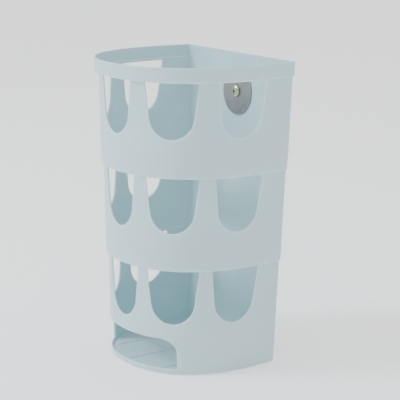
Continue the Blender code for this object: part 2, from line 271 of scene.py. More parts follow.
def grid_quads(rows, columns, around, start=0):
    """Corners of quads between rows and columns; around joins the last column to the first."""
    index = start + np.arange(rows * columns).reshape(rows, columns)
    if around:
        index = np.concatenate([index, index[:, :1]], 1)
    quads = np.stack([index[:-1, :-1], index[1:, :-1], index[1:, 1:], index[:-1, 1:]], -1)
    return quads.reshape(-1, 4)


class Shell:
    """Sheets of quads and flat polygons gathered into one closed mesh, and a mask at each point for rubbing,
    painted highlight and painted shade.
    """

    def __init__(self):
        self.points, self.wear, self.quads, self.polygons = [], [], [], []
        self.count = 0

    def add(self, points, wear):
        """Stores points with one mask value each, and gives the first one's number."""
        points = points.reshape(-1, 3)
        self.points.append(points)
        self.wear.append(np.broadcast_to(wear, len(points)))
        start, self.count = self.count, self.count + len(points)
        return start

    def sheet(self, points, wear=0.0, around=False):
        """A grid of points joined as quads; its mask of rubbing and painted light is one value, one for each
        row, or one for each point.
        """
        rows, columns = points.shape[:2]
        wear = np.asarray(wear, float)
        if wear.ndim == 1:
            wear = wear[:, None]
        start = self.add(points, np.broadcast_to(wear, (rows, columns)).reshape(-1))
        self.quads.append(grid_quads(rows, columns, around, start))

    def polygon(self, points):
        """One flat face through every point in turn."""
        start = self.add(points, 0.0)
        self.polygons.append(list(range(start, start + len(points))))

    def mesh(self, name):
        """Welds the sheets along shared edges, turns the faces outwards and smooths all but the flats."""
        data = bpy.data.meshes.new(name)
        faces = [quad for part in self.quads for quad in part.tolist()] + self.polygons
        data.from_pydata(np.concatenate(self.points).tolist(), [], faces)
        # Stored for the materials: a mask of rubbing, painted highlight on the plastic and painted shade in
        # the screw's recess
        layer = data.attributes.new("wear_and_painted_light", "FLOAT", "POINT")
        layer.data.foreach_set("value", np.concatenate(self.wear))
        work = bmesh.new()
        work.from_mesh(data)
        bmesh.ops.remove_doubles(work, verts=work.verts, dist=WELD)
        bmesh.ops.dissolve_degenerate(work, edges=work.edges, dist=SLIVER)
        bmesh.ops.recalc_face_normals(work, faces=work.faces)
        loose = sum(len(edge.link_faces) != 2 for edge in work.edges)
        if loose:
            raise RuntimeError(f"{name} has {loose} open edges")
        for face in work.faces:
            face.smooth = len(face.verts) <= 4
        work.to_mesh(data)
        work.free()
        return data


def finish_piece(name, data, material, node=None):
    """Puts a mesh in the scene with its material, on the one body, in place of a node where one is named."""
    piece = bpy.data.objects.new(name, data)
    bpy.context.scene.collection.objects.link(piece)
    data.materials.append(material)
    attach(piece, "root")
    if node:
        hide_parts(node)


def spread(points, count):
    """Points at even lengths along a path."""
    length = np.concatenate([[0], np.cumsum(np.linalg.norm(np.diff(points, axis=0), axis=1))])
    at = np.linspace(0, length[-1], count + 1)
    return np.stack([np.interp(at, length, points[:, i]) for i in (0, 1)], -1)


def loop_of(top, right, bottom, left):
    """Four sides walked round once, each side's last point being the next one's first."""
    return np.concatenate([side[:-1] for side in (top, right, bottom, left)])


def rectangle_loop(across, down):
    """The border of a grid: along its first row, down its last column, back along its last row and up."""
    top = np.stack([across, np.full_like(across, down[0])], -1)
    bottom = np.stack([across[::-1], np.full_like(across, down[-1])], -1)
    right = np.stack([np.full_like(down, across[-1]), down], -1)
    left = np.stack([np.full_like(down, across[0]), down[::-1]], -1)
    return loop_of(top, right, bottom, left)


def arc(cx, cy, radius, start, stop):
    """Points round a centre between two angles in degrees: the centre plus radius times cosine and sine."""
    angle = np.radians(np.linspace(start, stop, ARC_POINTS))
    return np.stack([cx + radius * np.cos(angle), cy + radius * np.sin(angle)], -1)


def mirrored(side):
    """The left side of a loop from its right one, walked the other way."""
    return side[::-1] * np.array([-1.0, 1.0])


def hole_loop(grow, width):
    """A U about x = 0 with its top at height 0, moved outwards by grow, its width then brought in by a share.

    Its sides are the tangents of the round bottom that meet the top's ends, and each is drawn along its own
    normal; the loop runs along the top, down the right side, round the bottom and up the left side.
    """
    size = sizes()
    radius, half, drop = size.hole_radius, size.hole_half_width, size.hole_drop
    centre = radius - drop
    lean = math.acos(radius / math.hypot(half, centre)) - math.atan2(-centre, half)
    r = radius + grow
    top_at = HOLE_TOP_EASE * grow
    rise = (top_at - centre + r * math.sin(lean)) / math.cos(lean)
    corner = np.array([r * math.cos(lean) + rise * math.sin(lean), top_at])
    top = spread(np.array([[-corner[0], top_at], corner]), ACROSS)
    bend = arc(0, centre, r, -math.degrees(lean), -SIDE_END_ANGLE)
    right = spread(np.concatenate([corner[None], bend]), DOWN)
    bottom = spread(arc(0, centre, r, -SIDE_END_ANGLE, SIDE_END_ANGLE - 180), ACROSS)
    narrow = np.array([(width * half + grow) / (half + grow), 1.0])
    return loop_of(top, right, bottom, mirrored(right)) * narrow


def mouth_loop(grow, columns):
    """The mouth's rounded upper corners, straight sides and sill in x and z, moved outwards by grow."""
    size = sizes()
    half, top, sill, radius = size.mouth_half_width, size.mouth_top, size.mouth_sill, size.mouth_radius
    cx, cz, r = half - radius, top - radius, radius + grow
    upper = spread(np.concatenate([arc(-cx, cz, r, 135, 90), arc(cx, cz, r, 90, 45)]), columns)
    foot = np.array([[half + grow, sill - grow]])
    right = spread(np.concatenate([arc(cx, cz, r, 45, 0), foot]), BAND_DOWN)
    lower = spread(np.array([foot[0], foot[0] * [-1, 1]]), columns)
    return loop_of(upper, right, lower, mirrored(right))


def edge_rows(radius):
    """How far each row of a rounded cut through the wall grows outwards, and its depth, from face to face.

    Both edges are quarter turns: growth is the radius times one minus the sine, depth the radius times one
    minus the cosine.
    """
    sine, lift = quarter()
    grow, depth = radius * (1 - sine), radius * lift
    return np.concatenate([grow, grow[::-1]]), np.concatenate([depth, sizes().wall - depth[::-1]])


def cut_wear():
    """Most rubbing and most painted highlight in the middle of each rounded edge: the least value plus the
    rise times the sine.
    """
    least, most = CUT_WEAR_AND_LIGHT
    sine = np.sin(np.linspace(0, math.pi, FILLET + 1))
    return np.tile(least + (most - least) * sine, 2)


def rows_at(heights, tier, e):
    """Rows of height, side step, nose step and depth in one tier, at depths e."""
    heights = np.asarray(heights, float)
    steps = (np.full_like(heights, value) for value in (SIDE_STEPS[tier], NOSE_STEPS[tier]))
    return np.stack([heights, *steps, np.broadcast_to(e, heights.shape)], -1)


def ledge_rows(z, tier, edge, hollow, e):
    """Rows down over the step under a tier: rounded out of the wall above, across, and into the one below.

    Each row is its height, its side and nose step and its depth; the arcs are quarter turns.
    """
    sine, lift = quarter()
    side, nose = np.array(SIDE_STEPS), np.array(NOSE_STEPS)
    over = edge * lift
    into = hollow * (sine - 1)
    low = z - LEDGE_SLOPE
    depth = np.full_like(over, e)
    upper = np.stack([z + edge * (1 - sine), side[tier] + over, nose[tier] + over, depth], -1)
    lower = np.stack([low - hollow * lift, side[tier + 1] + into, nose[tier + 1] + into, depth], -1)
    return np.concatenate([upper, lower])


def fixing():
    """The fixing's origin on the back's inner face and its directions: across, up and into the basket."""
    z = sizes().height - FIXING_BELOW_TOP
    inward = np.array([0, -1, BACK_DRAFT]) / BACK_SLANT
    up = np.array([0, BACK_DRAFT, 1]) / BACK_SLANT
    outer = np.array([0, back_at(z), z])
    return outer + inward * sizes().wall, np.array([1.0, 0, 0]), up, inward


def screw_ring(radius, e):
    """Points round the screw hole from its foot over the +X side to its top and on, at depth e."""
    origin, across, up, inward = fixing()
    turn = np.linspace(-math.pi / 2, 1.5 * math.pi, TURN_COUNT + 1)[:, None]
    depth = e / BACK_SLANT - sizes().wall
    return origin + depth * inward + radius * np.cos(turn) * across + radius * np.sin(turn) * up


class Basket:
    """The whole moulding: both faces of its wall by tier, rim, foot, floor, back and every cut edge."""

    def __init__(self):
        self.shell, self.outline = Shell(), Outline()
        self.wall, self.height, self.edge = sizes().wall, sizes().height, sizes().edge_radius
        self.cells = [np.linspace(a, b, ACROSS + 1) for a, b in zip(CELL_BORDERS, CELL_BORDERS[1:])]
        middle = np.unique(np.round(np.concatenate(self.cells), SHARE_DIGITS))
        start = self.outline.corner_start
        side = np.linspace(CELL_BORDERS[-1], start, SIDE_COUNT + 1)[1:]
        end = np.concatenate([side, np.linspace(start, 1, CORNER_COUNT + 1)[1:], [BACK_STRIP]])
        self.run = np.concatenate([-end[::-1], middle, end])
        strip = np.concatenate([[CELL_BORDERS[-1]], end])
        self.ends = (strip, -strip[::-1])
        self.ring = np.concatenate([[BACK_MIDDLE], self.run[::-1]])
        self.downs = {}

    def mesh(self):
        """Every part of the moulding in turn, welded into one closed mesh."""
        ledges = [self.height - RIM_HEIGHT - k * TIER_HEIGHT for k in range(TIERS)]
        for face, e in enumerate((0.0, self.wall)):
            self.raise_wall(face, e, [z + e for z in ledges])
        for tier, z in enumerate(ledges, 1):
            for column in range(len(HOLE_COLUMNS)):
                self.cut_hole(tier, z, column)
        self.cut_mouth()
        self.round_rim()
        self.round_foot()
        self.lay_floor()
        self.line_screw_hole()
        return self.shell.mesh("dispenser_basket")

    def raise_wall(self, face, e, ledges):
        """One face of the wall from lip to foot, with the holes' and the mouth's patches left out."""
        steps = [ledge_rows(z, k, *LEDGE_RADII[face], e) for k, z in enumerate(ledges)]
        lip = self.height - self.wall / 2
        rim = np.concatenate([rows_at([lip, lip - RIM_GUARD, steps[0][0, 0] + RIM_GUARD], 0, e), steps[0]])
        # Rubbing and painted highlight rise over each ledge's upper bend, and stay off the flat back
        ledge_wear = np.concatenate([np.linspace(*LEDGE_WEAR_AND_LIGHT, FILLET + 1), np.zeros(FILLET + 1)])
        wear = np.concatenate([np.zeros(PLAIN_RIM_ROWS), ledge_wear])[:, None] * (np.abs(self.run) < 1)
        self.shell.sheet(self.outline.surface(rim, self.run), wear)
        back_rows = [rim]
        for tier in range(1, TIERS + 1):
            low = steps[tier][0, 0] if tier < TIERS else BAND_TOP
            down = np.linspace(steps[tier - 1][-1, 0], low, DOWN + 1)
            back_rows.append(self.raise_ends(face, tier, tier, e, down))
            if tier < TIERS:
                self.shell.sheet(self.outline.surface(steps[tier], self.run), wear[PLAIN_RIM_ROWS:])
                back_rows.append(steps[tier][1:])
        foot = (FOOT_RADIUS, FLOOR_TOP + FLOOR_HOLLOW)[face]
        band = np.linspace(BAND_TOP, foot, BAND_DOWN + 1)
        back_rows.append(self.raise_ends(face, 0, TIERS, e, band))
        for cell in PLAIN_CELLS:
            self.shell.sheet(self.outline.surface(rows_at(band, TIERS, e), self.cells[cell]))
        self.close_back(np.concatenate(back_rows), e)

    def raise_ends(self, face, key, tier, e, down):
        """The two strips of wall between the outer holes' patches and the flat back, and their new rows."""
        self.downs[face, key] = down
        rows = rows_at(down, tier, e)
        for part in self.ends:
            self.shell.sheet(self.outline.surface(rows, part))
        return rows[1:]

    def wall_cell(self, tier, across, down, loop, e):
        """A patch of wall from a rectangle in to the loop cut in it, along straight lines in s and z."""
        mix = RADIAL_SHARES[:, None, None]
        both = rectangle_loop(across, down)[None] * (1 - mix) + loop[None] * mix
        wear = np.where(RADIAL_SHARES >= 1, PATCH_WEAR_AND_LIGHT, 0.0)
        points = self.outline.place(both[..., 0], both[..., 1], SIDE_STEPS[tier], NOSE_STEPS[tier], e)
        self.shell.sheet(points, wear, around=True)

    def cut(self, tier, key, across, s, heights, depth):
        """One opening with the wall about it: outer patch, inner patch, and rounded edge through the wall."""
        self.wall_cell(tier, across, self.downs[0, key], np.stack([s[0], heights[0]], -1), 0.0)
        self.wall_cell(tier, across, self.downs[1, key], np.stack([s[-1], heights[-1]], -1), self.wall)
        points = self.outline.place(s, heights, SIDE_STEPS[tier], NOSE_STEPS[tier], depth[:, None])
        self.shell.sheet(points, cut_wear(), around=True)

    def cut_hole(self, tier, z, column):
        """One U-shaped hole: s is its column's share, plus its lean, plus its x over the outline's length."""
        share, width, lean = HOLE_COLUMNS[column]
        grow, depth = edge_rows(self.edge)
        loops = np.stack([hole_loop(g, width) for g in grow])
        middle = share + math.copysign(lean, share) * loops[..., 1] / sizes().hole_drop
        s = middle + loops[..., 0] / (self.outline.total * self.outline.scale(tier))
        self.cut(tier, tier, self.cells[column], s, z - sizes().hole_gap + loops[..., 1], depth)

    def cut_mouth(self):
        """The mouth, cut straight back along Y, so its s is found from its x at each depth."""
        first, *others = (self.cells[cell] for cell in MOUTH_CELLS)
        across = np.concatenate([first, *(cell[1:] for cell in others)])
        grow, depth = edge_rows(self.edge)
        loops = np.stack([mouth_loop(g, len(across) - 1) for g in grow])
        x, z = loops[..., 0], loops[..., 1]
        s = self.outline.share_at(x, z, SIDE_STEPS[TIERS], NOSE_STEPS[TIERS], depth[:, None])
        self.cut(TIERS, 0, across, s, z, depth)

    def close_back(self, rows, e):
        """One face of the flat back as two polygons that meet over and under the screw hole."""
        right = self.outline.surface(rows, np.array([BACK_STRIP]))[:, 0]
        top, bottom = (self.outline.surface(rows[[i]], np.array([BACK_MIDDLE]))[0] for i in (0, -1))
        half = screw_ring(SCREW_HOLE_RADIUS + SCREW_HOLE_EASE, e)[: TURN_COUNT // 2 + 1]
        path = np.concatenate([top, right, bottom, half])
        for sign in (1, -1):
            self.shell.polygon(path * np.array([sign, 1, 1]))

    def round_rim(self):
        """The rim's lip: a half turn from the outer face over to the inner one, all the way round."""
        turn = np.linspace(0, math.pi, 2 * FILLET + 1)
        lip = self.wall / 2
        rows = rows_at(self.height - lip + lip * np.sin(turn), 0, lip * (1 - np.cos(turn)))
        # Rubbing and painted highlight are strongest on top of the lip
        self.shell.sheet(self.outline.surface(rows, self.ring), np.sin(turn), around=True)

    def round_foot(self):
        """A quarter turn under the wall, the flat flange it stands on, and the shallow recess inside that."""
        sine, lift = quarter(FOOT_ROWS)
        outer = rows_at(FOOT_RADIUS * (1 - sine), TIERS, FOOT_RADIUS * lift)
        inner = FOOT_RADIUS + FOOT_FLANGE
        sine, lift = quarter()
        flange = rows_at(FOOT_EASE * lift, TIERS, inner - FOOT_EASE * (1 - sine))
        up = rows_at([FOOT_RECESS - FOOT_EASE, FOOT_RECESS], TIERS, [inner, inner + FOOT_EASE])
        points = self.outline.surface(np.concatenate([outer, flange, up]), self.ring)
        wear = np.concatenate([np.linspace(0, 1, FOOT_ROWS + 1), np.full(FILLET + 1, FLANGE_WEAR_AND_LIGHT), [0, 0]])
        self.shell.sheet(points, wear, around=True)
        self.shell.polygon(points[-1])

    def lay_floor(self):
        """The inner wall's foot rounded by a quarter turn into the floor, and the floor."""
        sine, lift = quarter(FLOOR_ROWS)
        hollow = rows_at(FLOOR_TOP + FLOOR_HOLLOW * (1 - sine), TIERS, self.wall + FLOOR_HOLLOW * lift)
        border = rows_at([FLOOR_TOP], TIERS, self.wall + FLOOR_HOLLOW + FLOOR_MARGIN)
        points = self.outline.surface(np.concatenate([hollow, border]), self.ring)
        self.shell.sheet(points, around=True)
        self.shell.polygon(points[-1])

    def line_screw_hole(self):
        """The screw hole's wall, with a quarter-turn edge on both faces."""
        rows = zip(*edge_rows(SCREW_HOLE_EASE))
        rings = np.stack([screw_ring(SCREW_HOLE_RADIUS + grow, depth)[:-1] for grow, depth in rows])
        wear = np.tile(np.sin(np.linspace(0, math.pi, FILLET + 1)), 2) * SCREW_HOLE_WEAR_AND_LIGHT
        self.shell.sheet(rings, wear, around=True)


def rod(shell, start, stop, low, high):
    """A rib between two points: a squared ellipse carried along it, closing to a point in rounded ends.

    The section is half the width times the cosine and half the height times the sine, each raised to the
    squareness. At an end it shrinks as the sine of a quarter turn, and its place follows one minus the cosine.
    """
    start, stop = np.asarray(start, float), np.asarray(stop, float)
    length = np.linalg.norm(stop - start)
    along = (stop - start) / length
    across = np.array([-along[1], along[0], 0.0])
    turn = np.linspace(0, math.tau, RIB_AROUND + 1)[:-1]
    wide = RIB_WIDTH / 2 * np.sign(np.cos(turn)) * np.abs(np.cos(turn)) ** RIB_SQUARENESS
    tall = (high - low) / 2 * np.sign(np.sin(turn)) * np.abs(np.sin(turn)) ** RIB_SQUARENESS
    sine, lift = quarter(RIB_CAP_ROWS)
    straight = np.linspace(RIB_CAP, length - RIB_CAP, RIB_ALONG + 2)[1:-1]
    at = np.concatenate([RIB_CAP * lift, straight, length - RIB_CAP * lift[::-1]])
    scale = np.concatenate([sine, np.ones(RIB_ALONG), sine[::-1]])[:, None]
    centre = start + at[:, None] * along
    points = (centre[:, None] + (scale * wide)[..., None] * across
              + (scale * tall)[..., None] * np.array([0, 0, 1.0]))
    points[..., 2] += (low + high) / 2
    # Rubbing and painted highlight on the rib's upper half
    wear = np.broadcast_to(np.clip(np.sin(turn), 0, 1) * RIB_WEAR_AND_LIGHT, points.shape[:2])
    shell.sheet(points, wear, around=True)


def make_ribs_mesh():
    """Three ribs front to back and two across, sunk a little into the floor."""
    shell, outline = Shell(), Outline()
    steps = SIDE_STEPS[TIERS], NOSE_STEPS[TIERS]
    inset = sizes().wall + RIB_MARGIN
    low, high = FLOOR_TOP - RIB_ROOT, FLOOR_TOP + RIB_HEIGHT
    back = back_at(0.0)
    for column in (-1, 0, 1):
        x = np.array([column * RIB_PITCH])
        share = outline.share_at(x, FLOOR_TOP, *steps, inset)
        nose = outline.place(share, FLOOR_TOP, *steps, inset)[0, 1]
        rod(shell, (x[0], nose, 0), (x[0], back - inset, 0), low, high)
    side = outline.place(1.0, FLOOR_TOP, *steps, 0.0)[0] - RIB_MARGIN
    for row in (1, 2):
        y = back - RIB_PITCH * row + RIB_PITCH / 4
        rod(shell, (-side, y, 0), (side, y, 0), low - CROSS_RIB_SINK, high - CROSS_RIB_SINK)
    return shell.mesh("dispenser_floor_ribs")


def turned(name, radius, rise, wear_and_painted_light, centre_x=0.0):
    """A closed profile turned about the fixing: each point is its radius times cosine across and sine up.

    The radius and the rise into the basket may vary round the turn too.
    """
    origin, across, up, inward = fixing()
    turn = np.linspace(0, math.tau, radius.shape[1] + 1)[:-1]
    points = (origin + centre_x * across + (radius * np.cos(turn))[..., None] * across
              + (radius * np.sin(turn))[..., None] * up + rise[..., None] * inward)
    shell = Shell()
    shell.sheet(points, wear_and_painted_light, around=True)
    return shell.mesh(name)


def make_washer_mesh():
    """A flat ring whose section has quarter-turn corners; its inner and outer edges are the rubbed ones."""
    outer, inner = sizes().washer_radius, sizes().washer_bore
    low, high = SEAT_GAP, SEAT_GAP + sizes().washer_thickness
    sine, lift = quarter(WASHER_ROWS)
    corners = []
    sides = ((outer, high, 1, 1), (outer, low, 1, -1), (inner, low, -1, -1), (inner, high, -1, 1))
    for r, z, rs, zs in sides:
        a, b = (sine, 1 - lift) if rs * zs > 0 else (1 - lift, sine)
        corners.append(np.stack([r - rs * WASHER_EASE * (1 - a), z - zs * WASHER_EASE * (1 - b)], -1))
    face = np.linspace(inner + WASHER_EASE, outer - WASHER_EASE, WASHER_RINGS + 2)[1:-1]
    front = np.stack([face, np.full_like(face, high)], -1)
    rear = np.stack([face[::-1], np.full_like(face, low)], -1)
    section = np.concatenate([front, *corners[:2], rear, *corners[2:], front[:1]])
    edge = np.abs(section[:, 0] - (outer + inner) / 2) / ((outer - inner) / 2)
    radius, rise = (np.repeat(section[:, i, None], TURN_COUNT, 1) for i in (0, 1))
    return turned("dispenser_washer", radius, rise, np.clip(1 - (1 - edge) / RUBBED_SHARE, 0, 1), WASHER_X)


def make_screw_mesh():
    """A domed head with a tapering cross recess, a plain neck and a threaded shank that ends in a point.

    Head: height is the dome's ellipse less the recess, which is full depth inside either wing and rises along
    its flanks. Thread: the radius rises from the core to the crest in a narrow ridge once each pitch, and the
    ridge climbs one pitch each turn.
    """
    size = sizes()
    seat = 2 * SEAT_GAP + size.washer_thickness
    head, crest, core = size.head_radius, size.shank_radius, size.shank_radius * CORE_SHARE
    neck, tip = seat - NECK_LENGTH, seat - size.shank_length
    turn = np.linspace(0, math.tau, 2 * TURN_COUNT + 1)[:-1]
    full = np.ones_like(turn)
    angle = np.linspace(0, math.pi / 2, HEAD_RINGS)[:, None]
    radius = head * np.sin(angle) * full
    x, y = radius * np.cos(turn + RECESS_TURN), radius * np.sin(turn + RECESS_TURN)
    reach = np.clip((WING_REACH - np.abs(np.stack([x, y]))) / WING_END_SLOPE, 0, 1)
    width = np.clip((WING_HALF_WIDTH - np.abs(np.stack([y, x]))) / WING_SIDE_SLOPE, 0, 1)
    recess = (reach * width).max(0)
    recess = recess * recess * (3 - 2 * recess)
    rise = (seat + HEAD_EDGE + HEAD_DOME * np.cos(angle)) * full - RECESS_DEPTH * recess
    sine, lift = quarter()
    under = np.stack([head - HEAD_EASE * lift, seat + HEAD_EASE * (1 - sine)], -1)
    collar = np.array([[crest + COLLAR, seat], [crest, seat - COLLAR], [crest, neck]])
    profile = np.concatenate([under, collar])
    heights = np.arange(neck, tip + POINT_GAP, -THREAD_PITCH / ROWS_PER_PITCH)[:, None]
    taper = np.clip((heights - tip) / POINT_LENGTH, 0, 1)
    run_in = np.clip((neck - heights) / RUN_IN, 0, 1)
    phase = np.mod(heights / THREAD_PITCH + turn / math.tau, 1.0)
    ridge = np.clip(1 - np.abs(phase - 0.5) / RIDGE_SHARE, 0, 1)
    shank = (core + (crest - core) * np.maximum(ridge, 1 - run_in)) * taper ** POINT_ROUNDING
    radius = np.concatenate([radius, profile[:, :1] * full, shank[1:], 0 * full[None]])
    rise = np.concatenate([rise, profile[:, 1:] * full, heights[1:] * full, tip * full[None]])
    # The recess's mask goes to the material, which paints shade in the recess
    painted_recess_shade = np.zeros(radius.shape)
    painted_recess_shade[: len(recess)] = recess
    return turned("dispenser_screw", radius, rise, painted_recess_shade)


class Value:
    """A number or vector inside a shader, so that maths on it is written as Python."""

    def __init__(self, shader, socket):
        self.shader, self.socket = shader, socket

    def maths(self, operation, *values):
        return self.shader.node("ShaderNodeMath", {"operation": operation}, dict(enumerate(values)))

    def __add__(self, other):
        return self.maths("ADD", self, other)

    def __sub__(self, other):
        return self.maths("SUBTRACT", self, other)

    def __mul__(self, other):
        return self.maths("MULTIPLY", self, other)

    def __pow__(self, other):
        return self.maths("POWER", self, other)

    def __rsub__(self, other):
        return self.maths("SUBTRACT", other, self)

    __radd__ = __add__
    __rmul__ = __mul__

    def between(self, low, high):
        """0 below low, 1 above high, and an even rise between."""
        return self.shader.node("ShaderNodeMapRange", {"clamp": True},
                                {"Value": self, "From Min": low, "From Max": high})


class Shader:
    """A material's or the world's nodes, all made by one method."""

    def __init__(self, name, kind="materials", end="Principled BSDF"):
        self.owner = getattr(bpy.data, kind).new(name)
        self.owner.use_nodes = True
        self.tree = self.owner.node_tree
        self.surface = self.tree.nodes[end]

    def fill(self, node, values):
        """Links each value that is a socket's, and sets each plain one on its own socket."""
        for key, value in values.items():
            socket = node.inputs[key]
            if isinstance(value, Value):
                self.tree.links.new(value.socket, socket)
            else:
                socket.default_value = value

    def node(self, kind, settings=None, values=None, output=0):
        """Adds a node, sets what it does, fills its sockets, and gives one of its outputs."""
        node = self.tree.nodes.new(kind)
        for key, value in (settings or {}).items():
            if key == "stops":
                ramp = node.color_ramp
                for index, (place, colour) in enumerate(value):
                    stop = ramp.elements[index] if index < 2 else ramp.elements.new(place)
                    stop.position, stop.color = place, colour
            else:
                setattr(node, key, value)
        self.fill(node, values or {})
        return Value(self, node.outputs[output])

    def coordinates(self, **mapping):
        """Object coordinates, stretched and turned where a mapping is given."""
        place = self.node("ShaderNodeTexCoord", output="Object")
        return self.node("ShaderNodeMapping", {}, {"Vector": place, **mapping}) if mapping else place

    def noise(self, vector, scale, detail=3.0, roughness=0.5):
        """Cloudy values round 0.5, with so many patches to a metre."""
        values = {"Vector": vector, "Scale": scale, "Detail": detail, "Roughness": roughness}
        return self.node("ShaderNodeTexNoise", {}, values)

    def blend(self, share, a, b):
        """The first colour where the share is 0, the second where it is 1."""
        return self.node("ShaderNodeMix", {"data_type": "RGBA"}, {0: share, 6: a, 7: b}, output=2)

    def bump(self, height, distance, strength, normal=None):
        """A normal tilted by a height that varies, on top of an earlier one where it is given."""
        values = {"Height": height, "Distance": distance, "Strength": strength}
        if normal is not None:
            values["Normal"] = normal
        return self.node("ShaderNodeBump", {}, values)

    def split(self, vector):
        """A vector's three numbers."""
        first = self.node("ShaderNodeSeparateXYZ", {}, {0: vector})
        return [Value(self, socket) for socket in first.socket.node.outputs]

    def wear_and_painted_light(self):
        """The mesh's own attribute, from 0 to 1: the mask that the materials use for rubbing, painted
        highlight and painted shade.
        """
        return self.node("ShaderNodeAttribute", {"attribute_name": "wear_and_painted_light"}, output="Fac")


def shade(colour, factor):
    """A colour times a factor, kept within 1."""
    return tuple(min(1.0, c * factor) for c in colour[:3]) + (1.0,)


def plastic_material():
    """Satin moulded plastic: cloudy colour, fine grain, flow waves, painted highlight along its edges, rubbed
    edges and a scuffed foot.
    """
    shader = Shader("pale_blue_plastic")
    base = tuple(colours().plastic)
    scuffed = (0.42, 0.42, 0.40, 1.0)
    place = shader.coordinates()
    height = shader.split(place)[2]
    cloud = shader.noise(place, scale=14.0, detail=4.0, roughness=0.55)
    speck = shader.noise(place, scale=900.0, detail=2.0)
    flow = shader.noise(shader.coordinates(Scale=(60.0, 60.0, 7.0)), scale=1.0, detail=3.0, roughness=0.6)
    grain = shader.noise(place, scale=2600.0, detail=2.0, roughness=0.6)
    edge = shader.wear_and_painted_light()
    rub = edge * shader.noise(place, scale=160.0, detail=5.0, roughness=0.65).between(0.38, 0.68)
    patchy = shader.noise(place, scale=420.0, detail=5.0, roughness=0.7).between(0.50, 0.62)
    scuff = height.between(0.006, 0.0) * patchy
    tint = shader.blend(cloud.between(0.30, 0.70), shade(base, 0.965), shade(base, 1.03))
    tint = shader.blend(speck.between(0.35, 0.75) * 0.25, tint, shade(base, 0.93))
    # Painted highlight: every masked edge, the lip's top, the ledges and the ribs' tops made lighter, standing
    # in for light caught by their rounding
    tint = shader.blend(edge * 0.45, tint, shade(base, 1.32))
    tint = shader.blend(rub * 0.40, tint, shade(base, 1.30))
    tint = shader.blend(scuff * 0.45, tint, scuffed)
    shine = 0.37 + (flow - 0.5) * 0.14 + (cloud - 0.5) * 0.10 - rub * 0.08 + scuff * 0.22
    fine = shader.bump(grain, distance=0.00003, strength=0.45)
    wavy = shader.bump(flow, distance=0.0006, strength=0.10, normal=fine)
    shader.fill(shader.surface, {"Base Color": tint, "Roughness": shine, "Normal": wavy, "IOR": 1.49,
                                 "Specular IOR Level": 0.45, "Subsurface Weight": 0.35,
                                 "Subsurface Radius": (0.6, 1.0, 0.9), "Subsurface Scale": 0.004})
    return shader.owner


def fixing_coordinates(shader, centre_x):
    """Coordinates centred on the fixing, with Y along its axis."""
    _, y, z = fixing()[0].tolist()
    moved = shader.node("ShaderNodeVectorMath", {"operation": "SUBTRACT"},
                        {0: shader.coordinates(), 1: (centre_x, y, z)})
    return shader.node("ShaderNodeVectorRotate", {"rotation_type": "X_AXIS"},
                       {"Vector": moved, "Angle": math.atan(BACK_DRAFT)})


def steel_material():
    """Pressed steel: brushing turned round the bore, dull bloom, bright rubbed edges and fine scratches."""
    shader = Shader("washer_steel")
    base = tuple(colours().steel)
    place = fixing_coordinates(shader, WASHER_X)
    x, _, z = shader.split(place)
    radius = (x * x + z * z) ** 0.5
    rings = shader.node("ShaderNodeCombineXYZ", {}, {0: radius * 3200.0, 1: x * 60.0, 2: z * 60.0})
    brush = shader.noise(rings, scale=1.0, detail=3.0, roughness=0.6)
    bloom = shader.noise(place, scale=90.0, detail=5.0, roughness=0.6)
    drawn_out = shader.coordinates(Scale=(2600.0, 300.0, 160.0), Rotation=(0.0, 0.5, 0.0))
    scratch = shader.noise(drawn_out, scale=1.0, detail=2.0).between(0.60, 0.70)
    edge = shader.wear_and_painted_light()
    tint = shader.blend(bloom.between(0.35, 0.65), shade(base, 0.86), shade(base, 1.10))
    tint = shader.blend(brush.between(0.35, 0.70) * 0.35, tint, shade(base, 1.25))
    tint = shader.blend(edge * 0.6, tint, shade(base, 1.5))
    shine = 0.42 + (bloom - 0.5) * 0.30 + (brush - 0.5) * 0.12 - edge * 0.10
    fine = shader.bump(brush, distance=0.00002, strength=0.5)
    worn = shader.bump(scratch, distance=0.00002, strength=0.3, normal=fine)
    shader.fill(shader.surface, {"Base Color": tint, "Roughness": shine, "Normal": worn, "Metallic": 0.85})
    return shader.owner


def zinc_material():
    """Yellow zinc plate: patches from straw to green, painted shade in the cross recess, which is also duller
    there, and small pits.
    """
    shader = Shader("yellow_zinc")
    base = tuple(colours().zinc)
    green, recess_shade_colour = (0.50, 0.58, 0.40, 1.0), (0.05, 0.05, 0.035, 1.0)
    place = shader.coordinates()
    patch = shader.noise(place, scale=420.0, detail=3.0, roughness=0.5)
    pit = shader.noise(place, scale=2400.0, detail=3.0, roughness=0.6)
    painted_recess_shade = shader.wear_and_painted_light()
    stops = ((0.30, shade(base, 0.85)), (0.48, green), (0.62, shade(base, 1.15)))
    tint = shader.node("ShaderNodeValToRGB", {"stops": stops}, {0: patch})
    # Painted shade: the cross recess made near black
    tint = shader.blend(painted_recess_shade * 0.95, tint, recess_shade_colour)
    shine = 0.24 + (patch - 0.5) * 0.25 + pit.between(0.55, 0.75) * 0.12 + painted_recess_shade * 0.45
    worn = shader.bump(pit, distance=0.00002, strength=0.5)
    shader.fill(shader.surface, {"Base Color": tint, "Roughness": shine, "Normal": worn, "Metallic": 1.0})
    return shader.owner


def floor_material():
    """Matt white card with a barely visible mottle."""
    shader = Shader("stage_card")
    base = tuple(colours().stage)
    mottle = shader.noise(shader.coordinates(), scale=30.0, detail=3.0)
    tint = shader.blend(mottle.between(0.3, 0.7), shade(base, 0.99), shade(base, 1.0))
    shader.fill(shader.surface, {"Base Color": tint, "Roughness": 0.9 + (mottle - 0.5) * 0.05,
                                 "Specular IOR Level": 0.2, "Emission Color": (1.0, 1.0, 1.0, 1.0),
                                 "Emission Strength": FLOOR_GLOW})
    return shader.owner


def length_property(name, description, default):
    """A length in metres."""
    return bpy.props.FloatProperty(name=name, description=description, default=default, min=0.0001,
                                   unit="LENGTH", subtype="DISTANCE", precision=5)


def colour_property(name, description, default):
    """A colour with its alpha."""
    return bpy.props.FloatVectorProperty(name=name, description=description, default=default, size=4,
                                         min=0.0, max=1.0, subtype="COLOR")


